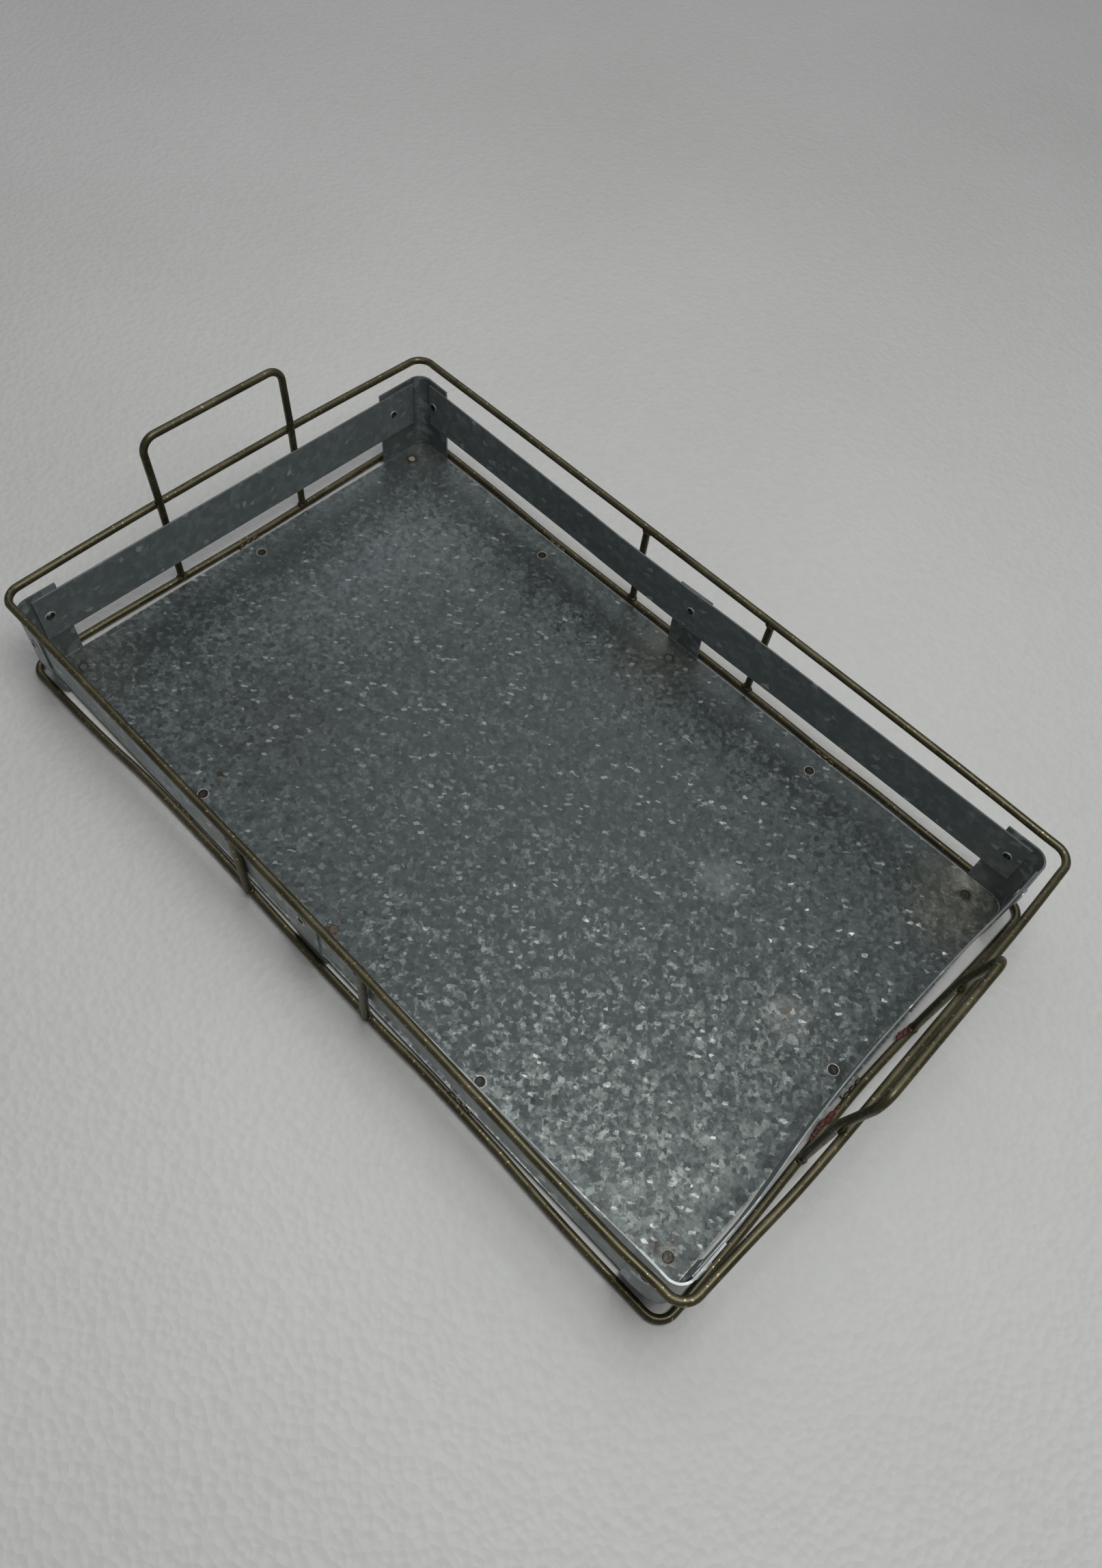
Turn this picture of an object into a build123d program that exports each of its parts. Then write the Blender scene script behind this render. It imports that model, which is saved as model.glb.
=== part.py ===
from build123d import *
import os

# Shallow sheet-steel tray for milk bottles, riveted into a welded wire frame with a
# wire handle at each short end. Millimetres, +Z up, X along the long side, origin on
# the surface it stands on, under the centre of the tray.

os.makedirs("parts", exist_ok=True)

# --- wire frame ---
wire_r = 2.0
ring_corner_r = 8.5
bottom_ring_x = 217.7        # half length, to the wire's centre line
bottom_ring_y = 132.5
bottom_ring_z = wire_r       # it lies on the floor
top_ring_x = 220.0
top_ring_y = 134.2
top_ring_z = 57.5
post_x = 42.0
post_y = 133.3
weld_sink = 0.8              # how far a butt-welded wire end sinks into the ring

# --- handles: upright inside the top ring, then leaning outwards ---
leg_x = 217.4
leg_spread = 41.6            # half the distance between a handle's legs
handle_rake_z = 61.0
handle_bend_r = 8.0
handles = {                  # name: sign x, centre y, bar x, bar z
    "handle_nx": (-1, -1.7, 219.2, 98.0),
    "handle_px": (1, 0.8, 222.0, 97.5),
}

# --- tray floor ---
plate_x = 212.5              # half length
plate_y = 128.5
plate_t = 0.9
plate_top_z = 3.0
plate_bottom_z = plate_top_z - plate_t
plate_corner_r = 7.5

# --- bands: flat strips round the tray, clear of the floor and of the corner bends ---
band_t = 0.8
band_inner_x = 211.8
band_inner_y = 127.8
band_z0 = 20.5
band_z1 = 48.5
band_end_x = 205.0
band_end_y = 121.0

# --- brackets: upright walls outside the bands, with a tab folded in under the plate ---
bracket_t = 1.0
bracket_x = band_inner_x + band_t + bracket_t   # outer faces of the walls
bracket_y = band_inner_y + band_t + bracket_t
bracket_bend_r = 8.0
corner_wall_z1 = 51.5
mid_wall_z1 = 48.8
wall_z0 = 2.6                # underside of the walls beside the folded tabs
tab_z0 = plate_bottom_z - bracket_t
tab_reach = 28.0
tab_fold_r = 0.9
tab_ear_x = 208.5            # the corner tabs widen towards the corner, inside the bend
tab_ear_y = 119.0
mid_bracket_w = 20.8

# name: sign x, sign y, end of the long-side leg, end of the short-side leg,
# plate rivet x and y, long-side eyelet x, short-side eyelet y
corners = {
    "nx_py": (-1, 1, 191.6, 97.8, 204.4, 112.4, 201.5, 106.1),
    "nx_ny": (-1, -1, 193.5, 108.7, 200.9, 116.0, 201.5, 116.6),
    "px_ny": (1, -1, 193.0, 103.4, 203.2, 111.4, 201.0, 112.5),
    "px_py": (1, 1, 190.0, 105.2, 195.8, 118.2, 198.2, 114.5),
}

# --- lugs: strips welded to the bottom ring, reaching in under the plate ---
lug_w = 13.0
lug_t = 1.5
lug_z0 = plate_bottom_z - lug_t
lug_end_r = 4.5
lug_x = 98.2                 # the four lugs on the long sides
lug_hole_y = 117.1
lug_hole_x = 203.4           # the two lugs on the short sides
lug_past_hole = 6.5
lug_sink = 0.9               # how far a lug's end sinks into the ring's wire

# --- fasteners ---
hole_play = 0.03
cut_through = 6.0            # length of a cutter for any of the thin sheets
eyelet_z = 35.0
eyelet_bore_r = 1.7
eyelet_shank_r = 2.1
eyelet_rim_r = 2.9            # the rolled rims
eyelet_rim_t = 0.5
eyelet_rim_bevel = 0.25
broad_head_r = 4.4           # the outer heads on the +X wall
broad_head_t = 1.0
plate_rivet_r = 2.5
plate_rivet_proud = 0.08
plate_rivet_head_r = 3.6
plate_rivet_head_t = 0.7
plate_rivet_head_bevel = 0.42
mid_rivet_y = 117.0
lug_rivet_r = 2.3
lug_rivet_recess = 0.35      # below the plate's top face
lug_rivet_head_r = 3.4
lug_rivet_head_t = 0.45
lug_hole_r = 2.45
burr_w = 0.45                # raised lip round each lug hole
burr_h = 0.22


def wire_along(path):
    section = Plane(origin=path @ 0, z_dir=path % 0) * Circle(wire_r)
    return sweep(section, path=path)


def make_ring(half_x, half_y, z):
    outline = RectangleRounded(2 * half_x, 2 * half_y, ring_corner_r)
    return wire_along(Pos(0, 0, z) * outline.wire())


def make_post(sign_x, sign_y):
    foot_z = bottom_ring_z + wire_r - weld_sink
    head_z = top_ring_z - wire_r + weld_sink
    post = Cylinder(wire_r, head_z - foot_z)
    return Pos(sign_x * post_x, sign_y * post_y, (foot_z + head_z) / 2) * post


def make_handle(sign_x, centre_y, bar_x, bar_z):
    foot_z = bottom_ring_z + wire_r - weld_sink
    side = [(leg_x, foot_z), (leg_x, handle_rake_z), (bar_x, bar_z)]
    y0 = centre_y - leg_spread
    y1 = centre_y + leg_spread
    points = [(sign_x * x, y0, z) for x, z in side]
    points += [(sign_x * x, y1, z) for x, z in reversed(side)]
    return wire_along(FilletPolyline(*points, radius=handle_bend_r))


def lug_places():
    """Lug name to its hole's x and y and the outward direction."""
    places = {}
    for side, sign_y in (("ny", -1), ("py", 1)):
        for end, sign_x in (("nx", -1), ("px", 1)):
            places["lug_%s_%s" % (side, end)] = (sign_x * lug_x, sign_y * lug_hole_y, 0, sign_y)
    places["lug_nx"] = (-lug_hole_x, 0.0, -1, 0)
    places["lug_px"] = (lug_hole_x, 0.0, 1, 0)
    return places


def make_lug(x, y, out_x, out_y):
    if out_x:
        reach = bottom_ring_x - wire_r + lug_sink - abs(x)
    else:
        reach = bottom_ring_y - wire_r + lug_sink - abs(y)
    blank = Pos((reach - lug_past_hole) / 2, 0) * Rectangle(reach + lug_past_hole, lug_w)
    blank = fillet(blank.vertices().sort_by(Axis.X)[:2], radius=lug_end_r)
    lug = extrude(blank - Circle(lug_rivet_r + hole_play), amount=lug_t)
    heading = {(1, 0): 0, (0, 1): 90, (-1, 0): 180, (0, -1): 270}[(out_x, out_y)]
    return Pos(x, y, lug_z0) * Rot(0, 0, heading) * lug


def plate_rivet_places():
    places = [(sx * rx, sy * ry) for sx, sy, _, _, rx, ry, _, _ in corners.values()]
    return places + [(0.0, -mid_rivet_y), (0.0, mid_rivet_y)]


def make_plate():
    sheet = extrude(RectangleRounded(2 * plate_x, 2 * plate_y, plate_corner_r), amount=plate_t)
    plate = Pos(0, 0, plate_bottom_z) * sheet
    for x, y in plate_rivet_places():
        plate -= Pos(x, y, plate_top_z) * Cylinder(plate_rivet_r + hole_play, cut_through)
    for x, y, _, _ in lug_places().values():
        plate += Pos(x, y, plate_top_z + burr_h / 2) * Cylinder(lug_hole_r + burr_w, burr_h)
        plate -= Pos(x, y, plate_top_z) * Cylinder(lug_hole_r, cut_through)
    return plate


def long_band(sign_y):
    y = sign_y * (band_inner_y + band_t / 2)
    band = Pos(0, y, (band_z0 + band_z1) / 2) * Box(2 * band_end_x, band_t, band_z1 - band_z0)
    for x in long_side_eyelets(sign_y):
        band -= Pos(x, y, eyelet_z) * Rot(90, 0, 0) * Cylinder(eyelet_shank_r + hole_play, cut_through)
    return band


def short_band(sign_x):
    x = sign_x * (band_inner_x + band_t / 2)
    band = Pos(x, 0, (band_z0 + band_z1) / 2) * Box(band_t, 2 * band_end_y, band_z1 - band_z0)
    for y in short_side_eyelets(sign_x):
        band -= Pos(x, y, eyelet_z) * Rot(0, 90, 0) * Cylinder(eyelet_shank_r + hole_play, cut_through)
    return band


def long_side_eyelets(sign_y):
    ends = [sx * eye_x for sx, sy, _, _, _, _, eye_x, _ in corners.values() if sy == sign_y]
    return ends + [0.0]


def short_side_eyelets(sign_x):
    return [sy * eye_y for sx, sy, _, _, _, _, _, eye_y in corners.values() if sx == sign_x]


def bend_outline(half_x, half_y, bend_r):
    """The +X +Y quarter of the tray's outline, rounded at its outer corner."""
    quarter = Pos(half_x / 2, half_y / 2) * Rectangle(half_x, half_y)
    outer_corner = quarter.vertices().sort_by(Axis((0, 0, 0), (1, 1, 0)))[-1]
    return fillet(outer_corner, radius=bend_r)


def corner_wall(leg_end_x, leg_end_y):
    """L-shaped wall with a rounded bend, drawn for the +X +Y corner."""
    strip = bend_outline(bracket_x, bracket_y, bracket_bend_r)
    strip -= bend_outline(bracket_x - bracket_t, bracket_y - bracket_t, bracket_bend_r - bracket_t)
    strip -= Pos(leg_end_x / 2, bracket_y) * Rectangle(leg_end_x, cut_through)
    strip -= Pos(bracket_x, leg_end_y / 2) * Rectangle(cut_through, leg_end_y)
    return Pos(0, 0, wall_z0) * extrude(strip, amount=corner_wall_z1 - wall_z0)


def folded_tab(x0, x1):
    """Foot of a long-side wall: drops from the wall and folds inwards under the plate."""
    width = x1 - x0
    drop = wall_z0 - tab_z0
    foot = Pos(x0 + width / 2, bracket_y - bracket_t / 2, tab_z0 + drop / 2)
    tab = Pos(x0 + width / 2, bracket_y - tab_reach / 2, tab_z0 + bracket_t / 2)
    folded = foot * Box(width, bracket_t, drop) + tab * Box(width, tab_reach, bracket_t)
    fold = folded.edges().filter_by(Axis.X).group_by(Axis.Z)[0].sort_by(Axis.Y)[-1]
    return fillet(fold, radius=tab_fold_r)


def tab_ear(leg_end_x):
    ear_w = tab_ear_x - leg_end_x
    ear_h = tab_ear_y - (bracket_y - tab_reach)
    place = Pos(leg_end_x + ear_w / 2, tab_ear_y - ear_h / 2, tab_z0 + bracket_t / 2)
    return place * Box(ear_w, ear_h, bracket_t)


def make_corner_bracket(sign_x, sign_y, leg_end_x, leg_end_y, rivet_x, rivet_y, eye_x, eye_y):
    bracket = corner_wall(leg_end_x, leg_end_y)
    bracket += folded_tab(leg_end_x, bracket_x - bracket_bend_r)
    bracket += tab_ear(leg_end_x)
    rivet_hole = Cylinder(plate_rivet_r + hole_play, cut_through)
    eyelet_hole = Cylinder(eyelet_shank_r + hole_play, cut_through)
    bracket -= Pos(rivet_x, rivet_y, tab_z0) * rivet_hole
    bracket -= Pos(eye_x, bracket_y, eyelet_z) * Rot(90, 0, 0) * eyelet_hole
    bracket -= Pos(bracket_x, eye_y, eyelet_z) * Rot(0, 90, 0) * eyelet_hole
    if sign_x < 0 and sign_y < 0:
        return Rot(0, 0, 180) * bracket
    if sign_x < 0:
        return mirror(bracket, about=Plane.YZ)
    if sign_y < 0:
        return mirror(bracket, about=Plane.XZ)
    return bracket


def make_mid_bracket(sign_y):
    height = mid_wall_z1 - wall_z0
    wall = Pos(0, bracket_y - bracket_t / 2, wall_z0 + height / 2)
    bracket = wall * Box(mid_bracket_w, bracket_t, height)
    bracket += folded_tab(-mid_bracket_w / 2, mid_bracket_w / 2)
    bracket -= Pos(0, mid_rivet_y, tab_z0) * Cylinder(plate_rivet_r + hole_play, cut_through)
    eyelet_hole = Cylinder(eyelet_shank_r + hole_play, cut_through)
    bracket -= Pos(0, bracket_y, eyelet_z) * Rot(90, 0, 0) * eyelet_hole
    if sign_y < 0:
        return Rot(0, 0, 180) * bracket
    return bracket


def make_plate_rivets():
    """Flush above the plate, with a low bevelled head under the bracket's tab."""
    rivets = []
    shank_h = plate_top_z + plate_rivet_proud - tab_z0
    for x, y in plate_rivet_places():
        shank = Pos(x, y, tab_z0 + shank_h / 2) * Cylinder(plate_rivet_r, shank_h)
        head = Pos(x, y, tab_z0 - plate_rivet_head_t / 2)
        head = head * Cylinder(plate_rivet_head_r, plate_rivet_head_t)
        head = chamfer(head.edges().group_by(Axis.Z)[0], plate_rivet_head_bevel)
        rivets.append((shank + head).solid())
    return Compound(children=rivets)


def make_lug_rivets():
    """Sunk in the plate's holes, with a thin head under the lug."""
    rivets = []
    shank_h = plate_top_z - lug_rivet_recess - lug_z0
    for x, y, _, _ in lug_places().values():
        shank = Pos(x, y, lug_z0 + shank_h / 2) * Cylinder(lug_rivet_r, shank_h)
        head = Pos(x, y, lug_z0 - lug_rivet_head_t / 2) * Cylinder(lug_rivet_head_r, lug_rivet_head_t)
        rivets.append((shank + head).solid())
    return Compound(children=rivets)


def make_eyelet(head_r, head_t):
    """Hollow rivet along +Z, from the band's inner face at 0 to its head outside the bracket."""
    grip = band_t + bracket_t
    low = -eyelet_rim_t
    high = grip + head_t
    body = Pos(0, 0, (low + high) / 2) * Cylinder(eyelet_shank_r, high - low)
    body += Pos(0, 0, -eyelet_rim_t / 2) * Cylinder(eyelet_rim_r, eyelet_rim_t)
    body += Pos(0, 0, grip + head_t / 2) * Cylinder(head_r, head_t)
    for level in (0, -1):
        rim = body.edges().group_by(Axis.Z)[level].sort_by(SortBy.LENGTH)[-1]
        body = chamfer(rim, eyelet_rim_bevel)
    return body - Pos(0, 0, grip / 2) * Cylinder(eyelet_bore_r, 2 * cut_through)


def make_eyelets():
    eyelets = []
    for sign in (-1, 1):
        for x in long_side_eyelets(sign):
            place = Pos(x, sign * band_inner_y, eyelet_z) * Rot(-90 * sign, 0, 0)
            eyelets.append((place * make_eyelet(eyelet_rim_r, eyelet_rim_t)).solid())
        for y in short_side_eyelets(sign):
            place = Pos(sign * band_inner_x, y, eyelet_z) * Rot(0, 90 * sign, 0)
            head = (broad_head_r, broad_head_t) if sign > 0 else (eyelet_rim_r, eyelet_rim_t)
            eyelets.append((place * make_eyelet(*head)).solid())
    return Compound(children=eyelets)


parts = {
    "bottom_ring": make_ring(bottom_ring_x, bottom_ring_y, bottom_ring_z),
    "top_ring": make_ring(top_ring_x, top_ring_y, top_ring_z),
    "base_plate": make_plate(),
    "long_band_ny": long_band(-1),
    "long_band_py": long_band(1),
    "short_band_nx": short_band(-1),
    "short_band_px": short_band(1),
    "mid_bracket_ny": make_mid_bracket(-1),
    "mid_bracket_py": make_mid_bracket(1),
    "plate_rivets": make_plate_rivets(),
    "lug_rivets": make_lug_rivets(),
    "eyelets": make_eyelets(),
}
for name, shape in handles.items():
    parts[name] = make_handle(*shape)
for name, shape in corners.items():
    parts["corner_bracket_" + name] = make_corner_bracket(*shape)
for side, sign_y in (("ny", -1), ("py", 1)):
    for end, sign_x in (("nx", -1), ("px", 1)):
        parts["post_%s_%s" % (side, end)] = make_post(sign_x, sign_y)
for name, place in lug_places().items():
    parts[name] = make_lug(*place)

for name, shape in parts.items():
    export_step(shape, "parts/%s.step" % name)
    print(name, round(shape.volume, 1))
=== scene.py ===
"""Shallow riveted sheet-steel tray for milk bottles in a welded wire frame.

Metres in the shared frame: +Z up, X along the tray, origin on the floor under its centre.
nx, px, ny and py name the sides by direction. nx and px are the short sides.
"""

import math
import random

import bmesh
import bpy
from mathutils import Matrix, Vector, noise


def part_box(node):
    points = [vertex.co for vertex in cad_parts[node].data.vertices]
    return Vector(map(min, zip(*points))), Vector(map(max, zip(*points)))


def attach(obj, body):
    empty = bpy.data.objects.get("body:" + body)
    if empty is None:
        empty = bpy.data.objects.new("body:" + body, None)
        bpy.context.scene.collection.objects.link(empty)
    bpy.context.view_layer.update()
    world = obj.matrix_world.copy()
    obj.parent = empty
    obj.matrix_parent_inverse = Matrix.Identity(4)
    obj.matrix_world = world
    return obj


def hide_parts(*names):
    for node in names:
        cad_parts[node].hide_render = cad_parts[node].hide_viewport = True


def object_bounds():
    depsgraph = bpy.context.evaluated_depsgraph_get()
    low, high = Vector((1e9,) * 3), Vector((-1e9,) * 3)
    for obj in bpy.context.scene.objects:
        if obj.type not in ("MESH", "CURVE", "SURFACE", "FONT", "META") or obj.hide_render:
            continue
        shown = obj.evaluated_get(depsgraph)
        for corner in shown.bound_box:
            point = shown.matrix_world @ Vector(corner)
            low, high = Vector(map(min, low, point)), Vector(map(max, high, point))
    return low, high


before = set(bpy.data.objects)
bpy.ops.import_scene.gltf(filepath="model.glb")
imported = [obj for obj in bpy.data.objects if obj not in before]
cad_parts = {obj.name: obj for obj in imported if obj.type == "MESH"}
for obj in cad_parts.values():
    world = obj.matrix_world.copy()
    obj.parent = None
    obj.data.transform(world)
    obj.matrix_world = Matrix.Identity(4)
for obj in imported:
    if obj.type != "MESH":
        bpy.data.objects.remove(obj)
cad_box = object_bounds()

# -------- sizes, mostly read from the CAD
MM = 0.001
BODY = "root"
SHORT_SIDES = (("nx", -1), ("px", 1))
LONG_SIDES = (("ny", -1), ("py", 1))

bottom_lo, bottom_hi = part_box("bottom_ring")
top_lo, top_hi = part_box("top_ring")
plate_lo, plate_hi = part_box("base_plate")
long_band_lo, long_band_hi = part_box("long_band_py")
short_band_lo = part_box("short_band_px")[0]
post_lo, post_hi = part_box("post_py_px")
eyelet_lo, eyelet_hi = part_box("eyelets")

WIRE_R = (bottom_hi.z - bottom_lo.z) / 2
BOTTOM_HALF = (bottom_hi.x - WIRE_R, bottom_hi.y - WIRE_R)    # half length and half width
TOP_HALF = (top_hi.x - WIRE_R, top_hi.y - WIRE_R)
BOTTOM_Z = (bottom_lo.z + bottom_hi.z) / 2
TOP_Z = (top_lo.z + top_hi.z) / 2
RING_CORNER_R = 8.5 * MM
POST_X = (post_lo.x + post_hi.x) / 2
HANDLE_BEND_R = 8 * MM
HANDLE_RAKE_Z = 61 * MM      # a handle leans outwards above this height
WELD_SINK = 0.8 * MM         # how far a post's ends sink into the rings
EDGE_GAP = 0.05 * MM         # weld metal stays this far inside the CAD's box
REACH_X = {"nx": -cad_box[0].x - WIRE_R, "px": cad_box[1].x - WIRE_R}
REACH_Y = {"ny": -cad_box[0].y - WIRE_R, "py": cad_box[1].y - WIRE_R}

PLATE_TOP_Z = plate_lo.z + 0.9 * MM
BAND_Z0 = long_band_lo.z
BAND_Z1 = long_band_hi.z
WALL_X = short_band_lo.x     # the bands' inner faces
WALL_Y = long_band_lo.y
EYELET_Z = (eyelet_lo.z + eyelet_hi.z) / 2

# -------- fineness of the meshes
WIRE_SIDES = 18              # points round a wire
RING_STEP = 3.5 * MM         # between a ring's sections
HANDLE_STEP = 3 * MM
CORNER_STEPS = 8             # in a quarter turn of a ring
BEND_STEP = math.radians(9)  # in a handle's bends
LATHE_SIDES = 28
WIRE_DENTS = 0.018           # share of the radius
WIRE_DENTS_PER_METRE = 170
WIRE_DENT_REACH = 0.004
HEAT_REACH = 5 * MM          # from a weld, along the burnt wire
SHARP_ANGLE = math.radians(32)
BEVEL_ANGLE = math.radians(50)
FLAT_ANGLE = math.radians(0.6)
SAME_POINT = 1e-6
ON_PLANE = 1e-7
CUT_SHIFT = 0.013 * MM       # keeps the cuts off the mesh's own points
BEAD_SHIFT = (3.7, 1.9, 5.3)
BEAD_LUMPS = 1.9             # how close a bead's swellings lie

# -------- bends made by hand and use
# Chosen from the photograph: (place along a side, bend outwards from the CAD's line), both in mm.
TOP_RING_BENDS = {
    "nx": ((-128, -3.0), (-90, -1.6), (-46, -0.5), (0, 0.0), (50, 0.0), (85, -0.7), (125, -1.8)),
    "px": ((-125, -1.6), (-100, -0.5), (-72, 0.9), (-45, 1.2), (0, 1.0), (60, 0.8), (95, 0.4),
           (125, -0.5)),
    "ny": ((-205, -1.4), (-120, -1.2), (40, -1.2), (110, -0.6), (165, -0.1), (186, 0.0),
           (206, -0.9)),
    "py": ((-205, -0.6), (-120, 0.0), (60, 0.0), (140, -0.5), (175, -1.1), (206, -2.0)),
}
BOTTOM_RING_BENDS = {
    "nx": ((-125, 1.0), (-90, 0.8), (-25, -0.2), (5, -0.6), (35, -0.3), (85, 0.6), (125, 1.0)),
    "px": ((-125, 1.0), (-82, 0.6), (-44, -0.5), (0, -1.4), (20, -1.0), (47, 0.1), (72, 1.8),
           (100, 2.9), (125, 3.4)),
    "ny": ((-205, 1.9), (-172, 1.3), (-151, 0.5), (-130, -0.7), (-110, -1.2), (-60, -1.1), (0, 0.0),
           (50, -0.3), (78, -1.0), (123, -0.7), (145, 0.1), (170, 0.8), (206, 0.8)),
    "py": ((-205, 0.1), (-150, 0.0), (-104, -1.0), (-68, -0.7), (0, 0.1), (70, 0.1), (95, -0.3),
           (128, 0.5), (165, 0.1), (206, 0.1)),
}
# The tray's walls, at the level of the bands' lower edge and of their upper edge.
WALL_LOW_BENDS = {
    "nx": ((-128, 0.0), (128, 0.0)),
    "px": ((-128, 0.9), (-95, 1.5), (-80, 1.2), (-45, -1.6), (-7, -3.0), (35, -2.5), (70, -1.5),
           (98, 0.2), (128, 0.3)),
    "ny": ((-213, 3.3), (-80, 3.2), (-55, 2.5), (-35, 2.3), (15, 2.1), (45, 1.6), (70, 1.5),
           (110, 2.3), (160, 3.1), (190, 3.3), (213, 1.6)),
    "py": ((-213, 0.0), (-90, -0.5), (-50, -1.2), (20, -1.2), (70, -0.4), (213, 0.0)),
}
WALL_TOP_BENDS = {
    "nx": ((-128, 0.4), (0, 0.6), (128, 0.2)),
    "px": ((-128, 0.8), (-95, 1.1), (-80, 0.8), (-45, -2.0), (-7, -3.4), (35, -2.9), (70, -1.8),
           (98, -0.1), (128, 0.0)),
    "ny": ((-213, 3.2), (-110, 2.6), (0, 1.4), (110, 0.9), (165, 0.3), (192, -0.7), (213, -0.8)),
    "py": ((-213, 0.0), (-80, -1.6), (-50, -2.1), (-9, -1.7), (20, -0.8), (70, -0.3), (213, 0.0)),
}
BOTTOM_RING = (BOTTOM_HALF, BOTTOM_Z, BOTTOM_RING_BENDS)
TOP_RING = (TOP_HALF, TOP_Z, TOP_RING_BENDS)
RING_BLEND = (14 * MM, 4 * MM)       # a side's bend grows between these depths behind it
WALL_BLEND = (16 * MM, 1 * MM)
DENT_DEPTH = 0.14 * MM               # soft dents in the tray's floor
DENTS_PER_METRE = 9
DENT_SHIFT = Vector((3.1, 7.7, 0))
DENT_RIM = 30 * MM                   # the dents fade out this near the walls
DENT_TOP = PLATE_TOP_Z + 2 * MM      # nothing above this is dented


def smooth(low, high, value):
    """0 below low, 1 above high, an S curve between."""
    t = min(1.0, max(0.0, (value - low) / (high - low)))
    return t * t * (3 - 2 * t)


def bend_at(points, place):
    """The smooth curve through the (place, bend) points, in metres."""
    place = place / MM
    if place <= points[0][0]:
        return points[0][1] * MM
    if place >= points[-1][0]:
        return points[-1][1] * MM
    i = max(k for k in range(len(points) - 1) if points[k][0] <= place)
    (x0, y0), (x1, y1) = points[i], points[i + 1]
    before = points[max(0, i - 1)]
    after = points[min(len(points) - 1, i + 2)]
    slope0 = (y1 - before[1]) / (x1 - before[0])
    slope1 = (after[1] - y0) / (after[0] - x0)
    width = x1 - x0
    t = (place - x0) / width
    a = (1 + 2 * t) * (1 - t) ** 2 * y0 + t * (1 - t) ** 2 * width * slope0
    b = t * t * (3 - 2 * t) * y1 + t * t * (t - 1) * width * slope1
    return (a + b) * MM


def side_names(x, y):
    """The short and the long side that a point is nearer to."""
    return ("px" if x > 0 else "nx"), ("py" if y > 0 else "ny")


def bent_ring_point(x, y, bends, half):
    """Where the hand-bent ring runs, for a point of the straight one."""
    short, long = side_names(x, y)
    near_x = smooth(half[0] - RING_BLEND[0], half[0] - RING_BLEND[1], abs(x))
    near_y = smooth(half[1] - RING_BLEND[0], half[1] - RING_BLEND[1], abs(y))
    out_x = abs(x) + bend_at(bends[short], y) * near_x
    out_y = abs(y) + bend_at(bends[long], x) * near_y
    return math.copysign(min(out_x, REACH_X[short]), x), math.copysign(min(out_y, REACH_Y[long]), y)


def wall_bend(low, top, place, z):
    """Bend of a wall at a height: none at the tray's floor, then from the low to the top curve."""
    at_low = bend_at(low, place)
    at_top = bend_at(top, place)
    rise = (z - BAND_Z0) / (BAND_Z1 - BAND_Z0)
    if rise >= 0:
        return at_low + (at_top - at_low) * rise
    return at_low * max(0.0, math.sin(math.pi / 2 * (z - PLATE_TOP_Z) / (BAND_Z0 - PLATE_TOP_Z)))


def bent_sheet_point(p):
    """Where a point of the straight tray lies in the hand-bent one."""
    short, long = side_names(p.x, p.y)
    near_x = smooth(WALL_X - WALL_BLEND[0], WALL_X - WALL_BLEND[1], abs(p.x))
    near_y = smooth(WALL_Y - WALL_BLEND[0], WALL_Y - WALL_BLEND[1], abs(p.y))
    dx = wall_bend(WALL_LOW_BENDS[short], WALL_TOP_BENDS[short], p.y, p.z) * near_x
    dy = wall_bend(WALL_LOW_BENDS[long], WALL_TOP_BENDS[long], p.x, p.z) * near_y
    dz = 0.0
    if p.z <= DENT_TOP:
        inside = smooth(0, DENT_RIM, min(WALL_X - abs(p.x), WALL_Y - abs(p.y)))
        dz = DENT_DEPTH * noise.noise(Vector((p.x, p.y, 0)) * DENTS_PER_METRE + DENT_SHIFT) * inside
    return Vector((p.x + math.copysign(1, p.x) * dx, p.y + math.copysign(1, p.y) * dy, p.z + dz))


# -------- mesh making
def link(name, bm, material, replaces=(), bevel=0.0):
    """Turns bm into a piece that rides on the tray."""
    mesh = bpy.data.meshes.new(name)
    bm.to_mesh(mesh)
    bm.free()
    mesh.polygons.foreach_set("use_smooth", [True] * len(mesh.polygons))
    mesh.set_sharp_from_angle(angle=SHARP_ANGLE)
    mesh.materials.append(material)
    piece = bpy.data.objects.new(name, mesh)
    bpy.context.scene.collection.objects.link(piece)
    if bevel:
        rounding = piece.modifiers.new("rounding", "BEVEL")
        rounding.width = bevel
        rounding.segments = 2
        rounding.limit_method = "ANGLE"
        rounding.angle_limit = BEVEL_ANGLE
        rounding.harden_normals = False
    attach(piece, BODY)
    if replaces:
        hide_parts(*replaces)


def cut_every(bm, axis, step):
    """Cuts the mesh by evenly spaced planes across an axis, so that it can bend."""
    values = [v.co[axis] for v in bm.verts]
    low, high = min(values), max(values)
    count = max(1, round((high - low) / step))
    normal = Vector((0, 0, 0))
    normal[axis] = 1
    for i in range(1, count):
        at = Vector((0, 0, 0))
        at[axis] = low + (high - low) * i / count + CUT_SHIFT
        geometry = bm.verts[:] + bm.edges[:] + bm.faces[:]
        bmesh.ops.bisect_plane(bm, geom=geometry, dist=ON_PLANE, plane_co=at, plane_no=normal)


def sheet_from(node, steps, move):
    """A copy of a CAD node's mesh, cut at steps in mm along X, Y and Z, each point moved."""
    bm = bmesh.new()
    bm.from_mesh(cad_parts[node].data)
    bmesh.ops.remove_doubles(bm, verts=bm.verts, dist=SAME_POINT)
    bmesh.ops.dissolve_limit(bm, angle_limit=FLAT_ANGLE, verts=bm.verts, edges=bm.edges)
    for axis, step in enumerate(steps):
        if step:
            cut_every(bm, axis, step * MM)
    for v in bm.verts:
        v.co = move(v.co)
    bmesh.ops.recalc_face_normals(bm, faces=bm.faces)
    return bm


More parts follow.
